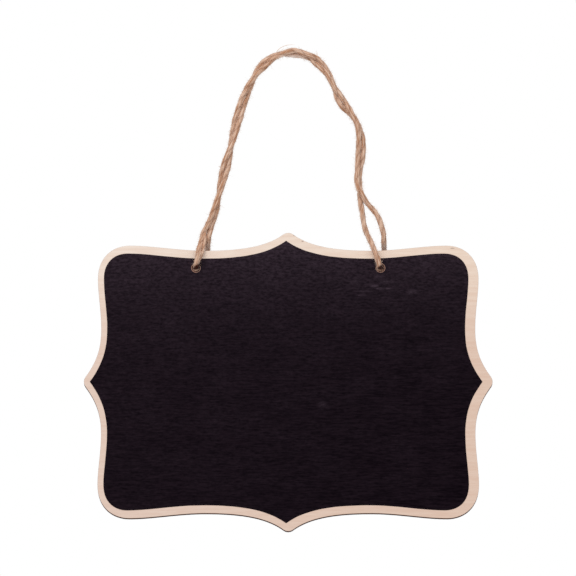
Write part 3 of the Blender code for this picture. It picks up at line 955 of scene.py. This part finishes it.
def start_group(name, inputs, outputs):
    """An empty node group, with what it is given and what it has to make."""
    group = bpy.data.node_groups.new(name, "ShaderNodeTree")
    for label, kind, value in inputs:
        group.interface.new_socket(label, in_out="INPUT", socket_type=kind).default_value = value
    for label, kind in outputs:
        group.interface.new_socket(label, in_out="OUTPUT", socket_type=kind)
    return group, group.nodes.new("NodeGroupInput").outputs, group.nodes.new("NodeGroupOutput").inputs


def use_group(tree, group, inputs):
    """A node group placed in a material, with its own values."""
    return add_node(tree, "ShaderNodeGroup", inputs, node_tree=group)


COLOUR, NUMBER, PLACE = "NodeSocketColor", "NodeSocketFloat", "NodeSocketVector"
WHITE = (1.0, 1.0, 1.0, 1.0)

# %% [markdown]
# Wood grain is long, fine streaks. Noise stretched along the grain gives it, once broad for the
# year rings and once fine for the fibres, and short dark flecks stand for pores. The plies, and the
# paint that the grain shows through, all use this group with their own directions and colours.

# %% Node group: wood grain
wood_grain, given, made = start_group(
    "wood_grain",
    [("Place", PLACE, (0, 0, 0)), ("Broad", PLACE, (60, 900, 900)), ("Fine", PLACE, (300, 5000, 5000)),
     ("Pale", COLOUR, WHITE), ("Deep", COLOUR, WHITE), ("Pore", COLOUR, WHITE)],
    [("Color", COLOUR), ("Height", NUMBER)])
broad = noise(wood_grain, given["Place"], given["Broad"])
fine = noise(wood_grain, given["Place"], given["Fine"], 4.0, 0.7)
tone = weighted(wood_grain, (broad, 0.6), (fine, 0.4))
pores = maths(wood_grain, "MULTIPLY", ramped(wood_grain, fine, 0.66, 0.74), 0.5)
grained = mix(wood_grain, ramped(wood_grain, tone, 0.36, 0.64), given["Pale"], given["Deep"])
wood_grain.links.new(mix(wood_grain, pores, grained, given["Pore"]), made["Color"])
wood_grain.links.new(maths(wood_grain, "SUBTRACT", tone, pores), made["Height"])
print("wood grain:", len(wood_grain.nodes), "nodes")

# %% [markdown]
# A spot is a soft oval mark at one place on the board: a scorch speck on the rim, or a smear of chalk.
# Broken up with noise, it stops looking like a drawn oval.

# %% Node group: spot
spot, given, made = start_group(
    "spot", [("Place", PLACE, (0, 0, 0)), ("Middle", PLACE, (0, 0, 0)), ("Size", PLACE, (1, 1, 1)),
             ("Breakup", NUMBER, 0.0)], [("Mask", NUMBER)])
away = vector_maths(spot, "SUBTRACT", given["Place"], given["Middle"])
shares = vector_maths(spot, "DIVIDE", away, given["Size"])
far = add_node(spot, "ShaderNodeVectorMath", {0: shares}, operation="LENGTH").outputs["Value"]
soft = ramped(spot, far, 0.25, 1.0, 1.0, 0.0)
patchy = ramped(spot, noise(spot, given["Place"], (520, 520, 1300), 4.0, 0.6), 0.38, 0.72)
kept = maths(spot, "ADD", maths(spot, "SUBTRACT", 1.0, given["Breakup"]),
             maths(spot, "MULTIPLY", given["Breakup"], patchy))
spot.links.new(maths(spot, "MULTIPLY", soft, kept, clamp=True), made["Mask"])


def spots(tree, place, marks):
    """The strongest of several spots, each given by x, z, half width and half height, in millimetres,
    and by its breakup and strength."""
    total = 0.0
    for x, z, wide, high, breakup, strength in marks:
        mask = use_group(tree, spot, {"Place": place, "Middle": (x * MM, 0, z * MM),
                                      "Size": (wide * MM, 1, high * MM),
                                      "Breakup": breakup}).outputs["Mask"]
        total = maths(tree, "MAXIMUM", maths(tree, "MULTIPLY", mask, strength), total)
    return total


# %% [markdown]
# Bare sanded plywood is pale pinkish cream and matt. The cut edge is browned where the wood was
# scorched, fading over the rounded corner, and a few scorch specks sit on the top of the rim.


# %% Wood materials
def start_material(name, roughness, specular):
    """A material with its Principled shader and its object coordinates."""
    material = bpy.data.materials.new(name)
    material.use_nodes = True
    tree = material.node_tree
    shader = tree.nodes["Principled BSDF"]
    shader.inputs["Roughness"].default_value = roughness
    shader.inputs["Specular IOR Level"].default_value = specular
    return material, tree, shader, tree.nodes.new("ShaderNodeTexCoord").outputs["Object"]


def add_bump(tree, shader, height, distance):
    """Fine relief from a height, at its real depth in metres."""
    bump = add_node(tree, "ShaderNodeBump", {"Height": height, "Distance": distance, "Strength": 1.0})
    tree.links.new(bump.outputs["Normal"], shader.inputs["Normal"])


RIM_PALE = screen(246, 230, 217)
RIM_DEEP = screen(239, 218, 203)
RIM_PORE = screen(208, 180, 160)
TANNED = screen(156, 110, 94)
BROWNED = screen(74, 46, 36)
BROWNED_DEEP = screen(54, 32, 25)
# Painted shade on the rim: multipliers that make the wood darker and warmer towards the bottom and the
# right, where less of the light from above and the left falls.
LOWER_PAINTED_SHADE = (0.90, 0.83, 0.81, 1.0)
LOWER_SHADE_HEIGHTS = (-150 * MM, -98 * MM)
RIGHT_PAINTED_SHADE = (0.98, 0.945, 0.91, 1.0)
BOARD_SIDES = (-100 * MM, 100 * MM)
SAW_RELIEF = 1.5
WOOD_RELIEF = 0.03 * MM
SCORCH = screen(96, 62, 44)
SCORCH_MARKS = (
    (3.15, -90.2, 0.9, 0.5, 0.4, 0.75),
    (7.15, -93.2, 0.8, 0.5, 0.4, 0.65),
    (82.1, -96.7, 1.6, 0.45, 0.4, 0.6),
)
GRAIN_ACROSS = ((60, 900, 900), (340, 4500, 4500))
GRAIN_UPRIGHT = ((900, 900, 60), (4500, 4500, 340))


def wood_material(name, directions, pale, deep, pore, marks):
    """Plywood: grain, painted shade that makes it darker and warmer towards the bottom and the right, as
    light from above and the left leaves it, specks, and an edge that is tanned first and then browned,
    with the saw's fine lines."""
    material, tree, shader, place = start_material(name, roughness=0.8, specular=0.04)
    grain = use_group(tree, wood_grain, {"Place": place, "Broad": directions[0], "Fine": directions[1],
                                         "Pale": pale, "Deep": deep, "Pore": pore})
    edge = carried_value(tree, "browned")
    lines = noise(tree, place, (3200, 260, 3200), 3.0, 0.65)
    burnt = mix(tree, ramped(tree, lines, 0.35, 0.65), BROWNED_DEEP, BROWNED)
    patchy = ramped(tree, noise(tree, place, (420, 420, 420)), 0.30, 0.62, 0.86, 1.0)
    burning = maths(tree, "MULTIPLY", edge, patchy)
    axes = add_node(tree, "ShaderNodeSeparateXYZ", {"Vector": place}).outputs
    # Painted shade: darker and warmer towards the bottom and the right.
    lower = ramped(tree, axes["Z"], *LOWER_SHADE_HEIGHTS, 1.0, 0.0)
    colour = mix(tree, lower, grain.outputs["Color"], LOWER_PAINTED_SHADE, "MULTIPLY")
    colour = mix(tree, ramped(tree, axes["X"], *BOARD_SIDES), colour, RIGHT_PAINTED_SHADE, "MULTIPLY")
    colour = mix(tree, ramped(tree, burning, 0.0, 0.45), colour, TANNED)
    colour = mix(tree, ramped(tree, burning, 0.45, 0.90), colour, burnt)
    if marks:
        colour = mix(tree, spots(tree, place, marks), colour, SCORCH)
    tree.links.new(colour, shader.inputs["Base Color"])
    sawn = maths(tree, "MULTIPLY", maths(tree, "MULTIPLY", edge, lines), SAW_RELIEF)
    add_bump(tree, shader, maths(tree, "ADD", grain.outputs["Height"], sawn), WOOD_RELIEF)
    return material


rim_wood = wood_material("sanded_face_wood", GRAIN_ACROSS, RIM_PALE, RIM_DEEP, RIM_PORE, SCORCH_MARKS)
core_wood = wood_material("cross_ply_wood", GRAIN_UPRIGHT, screen(206, 172, 146), screen(176, 138, 112),
                          screen(130, 94, 72), ())
front_ply.data.materials.append(rim_wood)
back_ply.data.materials.append(rim_wood)
core_ply.data.materials.append(core_wood)

# %% [markdown]
# Chalkboard paint is a matt, faintly warm black. The wood's grain shows through as fine level lines.
# Wiped chalk leaves a thin patchy film and a few small smears, most of them below the right hole. The
# field is also painted paler towards the top, most of all near it, and a little towards the left: a
# painted sheen of the light from above and the left.

# %% Black paint material
PAINT = screen(8, 3, 8)
PAINT_LIGHT = screen(25, 16, 23)
CHALK_AND_SHEEN = screen(120, 101, 116)
SMEARS = (
    (42.9, -115.8, 3.0, 1.0, 0.7, 0.30), (46.3, -117.1, 3.8, 0.8, 0.7, 0.26),
    (50.1, -117.1, 2.8, 0.8, 0.7, 0.24), (61.8, -118.8, 3.6, 1.8, 0.8, 0.24),
    (37.7, -118.5, 6.0, 0.6, 0.7, 0.16), (36.6, -120.5, 5.0, 0.6, 0.7, 0.12),
    (49.6, -113.6, 5.2, 1.8, 0.9, 0.12), (33.7, -113.8, 4.6, 1.8, 0.9, 0.09),
    (45.6, -111.1, 3.6, 1.2, 0.7, 0.10), (17.2, -175.8, 3.6, 3.0, 0.9, 0.10),
    (9.0, -235.0, 5.0, 1.6, 1.0, 0.10),
)
FIELD_HEIGHTS = (-236 * MM, -95 * MM)
PAINT_RELIEF = 0.02 * MM
paint, tree, shader, place = start_material("chalkboard_paint", roughness=0.78, specular=0.02)
grain = use_group(tree, wood_grain, {"Place": place, "Broad": (170, 1100, 1250), "Fine": (480, 1700, 1700),
                                     "Pale": PAINT_LIGHT, "Deep": PAINT, "Pore": PAINT})
axes = add_node(tree, "ShaderNodeSeparateXYZ", {"Vector": place}).outputs
height = add_node(tree, "ShaderNodeMapRange", {"Value": axes["Z"], "From Min": FIELD_HEIGHTS[0],
                                               "From Max": FIELD_HEIGHTS[1]}).outputs["Result"]
# Painted sheen: paler towards the top and the left, as light from above and the left would glint on the
# paint. The noise cloud is wiped chalk.
upper = maths(tree, "POWER", height, 6.0)
left = ramped(tree, axes["X"], *BOARD_SIDES, 1.0, 0.0)
cloud = ramped(tree, noise(tree, place, (45, 45, 90), 4.0, 0.65), 0.40, 0.72)
dust = noise(tree, place, (420, 420, 900), 3.0, 0.7)
chalk_and_painted_sheen = weighted(tree, (upper, 0.095), (left, 0.012), (height, 0.014), (cloud, 0.016))
chalk_and_painted_sheen = maths(tree, "MULTIPLY", chalk_and_painted_sheen, ramped(tree, dust, 0.32, 0.68, 0.40, 1.60))
dusted_and_sheened = mix(tree, chalk_and_painted_sheen, grain.outputs["Color"], CHALK_AND_SHEEN)
smeared = mix(tree, spots(tree, place, SMEARS), dusted_and_sheened, CHALK_AND_SHEEN)
tree.links.new(smeared, shader.inputs["Base Color"])
tree.links.new(ramped(tree, cloud, 0.0, 1.0, 0.66, 0.78), shader.inputs["Roughness"])
add_bump(tree, shader, grain.outputs["Height"], PAINT_RELIEF)
black_field.data.materials.append(paint)

# %% [markdown]
# Jute is tan, with paler fibres on top and short brown flecks of bark. The groove between the plies is
# painted darker as painted shade. The pattern reads the place on the twine that the mesh carries, so it
# follows every bend, also when the board swings.

# %% Node group: fibre streaks
fibre_streaks, given, made = start_group(
    "fibre_streaks",
    [("Place", PLACE, (0, 0, 0)), ("Groove", NUMBER, 0.0), ("Pale", COLOUR, WHITE),
     ("Tan", COLOUR, WHITE), ("Deep", COLOUR, WHITE)], [("Color", COLOUR), ("Height", NUMBER)])
fine = noise(fibre_streaks, given["Place"], (5.0, 5.0, 0.55), 4.0, 0.7)
broad = noise(fibre_streaks, given["Place"], (2.0, 2.0, 0.26), 2.0, 0.5)
slow = noise(fibre_streaks, given["Place"], (0.8, 0.8, 0.22), 2.0, 0.5)
flecks = noise(fibre_streaks, given["Place"], (2.6, 2.6, 0.9), 2.0, 0.5)
threads = weighted(fibre_streaks, (fine, 0.35), (broad, 0.65))
body = mix(fibre_streaks, ramped(fibre_streaks, threads, 0.42, 0.58), given["Tan"], given["Pale"])
body = mix(fibre_streaks, ramped(fibre_streaks, slow, 0.40, 0.70, 0.0, 0.45), body, given["Tan"])
# Painted shade in the groove between the plies, together with the real bark flecks.
shade = maths(fibre_streaks, "MAXIMUM", maths(fibre_streaks, "MULTIPLY", given["Groove"], 0.50),
              maths(fibre_streaks, "MULTIPLY", ramped(fibre_streaks, flecks, 0.66, 0.76), 0.60))
fibre_streaks.links.new(mix(fibre_streaks, shade, body, given["Deep"]), made["Color"])
fibre_streaks.links.new(threads, made["Height"])
print("fibre streaks:", len(fibre_streaks.nodes), "nodes")

# %% [markdown]
# Two materials share the twine. The cord's own mixes the pale stretches of painted light over the streaks
# and adds a little sheen, as plant fibre has. The hairs are too thin to show streaks, so theirs is paler,
# with a tone that changes every millimetre or so. Both materials paint the shadow in the holes as dark
# colour.

# %% Twine materials
# Painted shadow: the dark colour that stands for the shade inside the holes.
HOLE_SHADOW = screen(57, 20, 9)
PALE_PAINTED_LIGHT = screen(252, 238, 230)
PALE_PAINTED_LIGHT_SHARE = 0.9
TWINE_RELIEF = 0.08 * MM
jute, tree, shader, _ = start_material("jute", roughness=0.85, specular=0.15)
shader.inputs["Sheen Weight"].default_value = 0.28
shader.inputs["Sheen Roughness"].default_value = 0.4
streaks = use_group(tree, fibre_streaks, {"Place": carried_value(tree, "twine_place", "Vector"),
                                          "Groove": carried_value(tree, "groove"),
                                          "Pale": screen(232, 200, 178), "Tan": screen(186, 136, 104),
                                          "Deep": screen(120, 68, 42)})
# Painted light: the shaded stretches are mixed towards a pale tone.
lit_share = maths(tree, "MULTIPLY", carried_value(tree, "pale_and_painted_light"), PALE_PAINTED_LIGHT_SHARE)
toned = mix(tree, lit_share, streaks.outputs["Color"], PALE_PAINTED_LIGHT)
# The painted hole shadow goes over the twine's colour.
tree.links.new(mix(tree, carried_value(tree, "painted_hole_shadow"), toned, HOLE_SHADOW), shader.inputs["Base Color"])
add_bump(tree, shader, streaks.outputs["Height"], TWINE_RELIEF)
for item in (jute_twine, loose_ply, twine_knot, *tails):
    item.data.materials.append(jute)

fibre, tree, shader, place = start_material("jute_fibre", roughness=0.8, specular=0.2)
tint = ramped(tree, noise(tree, place, (700, 700, 700), 1.0), 0.4, 0.6)
tinted = mix(tree, tint, screen(244, 222, 206), screen(216, 184, 160))
# The painted hole shadow darkens the hairs in the holes too.
tree.links.new(mix(tree, carried_value(tree, "painted_hole_shadow"), tinted, HOLE_SHADOW), shader.inputs["Base Color"])
for item in (loose_fibres, short_fringe, frayed_ends):
    item.data.materials.append(fibre)
print("twine materials:", jute.name, fibre.name)

# %% [markdown]
# The photograph has a pure white ground and even, soft light from above and a little from the left.
# The world is white only to the camera and to reflections, and softer as a light, so the pale rim
# doesn't burn out. The floor lies well below the board and is stage, not part of the object.

# %% Floor and light
FLOOR_HEIGHT = -1.3
FLOOR_HALF = 4.0
WORLD_LIGHT = 0.72
KEY_POWER = 10.5
KEY_SIZE = 0.9
KEY_PLACE = Vector((-0.45, -1.15, 1.05))

floor = add_mesh("floor", np.array(((-1, -1, 0), (1, -1, 0), (1, 1, 0), (-1, 1, 0))) * FLOOR_HALF
                 + np.array((0, 0, FLOOR_HEIGHT)), np.array(((0, 1, 2, 3),)), smooth=False)
floor_material, _, shader, _ = start_material("pale_floor", roughness=0.9, specular=0.1)
shader.inputs["Base Color"].default_value = screen(240, 239, 237)
floor.data.materials.append(floor_material)

key = bpy.data.objects.new("key_light", bpy.data.lights.new("key_light", "AREA"))
key.data.energy = KEY_POWER
key.data.size = KEY_SIZE
key.location = KEY_PLACE
key.rotation_mode = "QUATERNION"
key.rotation_quaternion = (VIEW_TARGET - KEY_PLACE).to_track_quat("-Z", "Y")
bpy.context.scene.collection.objects.link(key)

world = bpy.data.worlds.new("soft_white")
bpy.context.scene.world = world
world.use_nodes = True
tree = world.node_tree
tree.nodes.clear()
rays = tree.nodes.new("ShaderNodeLightPath")
seen = maths(tree, "MAXIMUM", rays.outputs["Is Camera Ray"],
             maths(tree, "MAXIMUM", rays.outputs["Is Glossy Ray"], rays.outputs["Is Transmission Ray"]))
lighting = add_node(tree, "ShaderNodeBackground", {"Color": WHITE, "Strength": WORLD_LIGHT})
ground = add_node(tree, "ShaderNodeBackground", {"Color": WHITE, "Strength": 1.0})
both = add_node(tree, "ShaderNodeMixShader", {0: seen, 1: lighting.outputs[0], 2: ground.outputs[0]})
output = add_node(tree, "ShaderNodeOutputWorld", {"Surface": both.outputs[0]})
bpy.context.scene.view_settings.view_transform = "Standard"
print("key light:", KEY_POWER, "W, world:", WORLD_LIGHT)
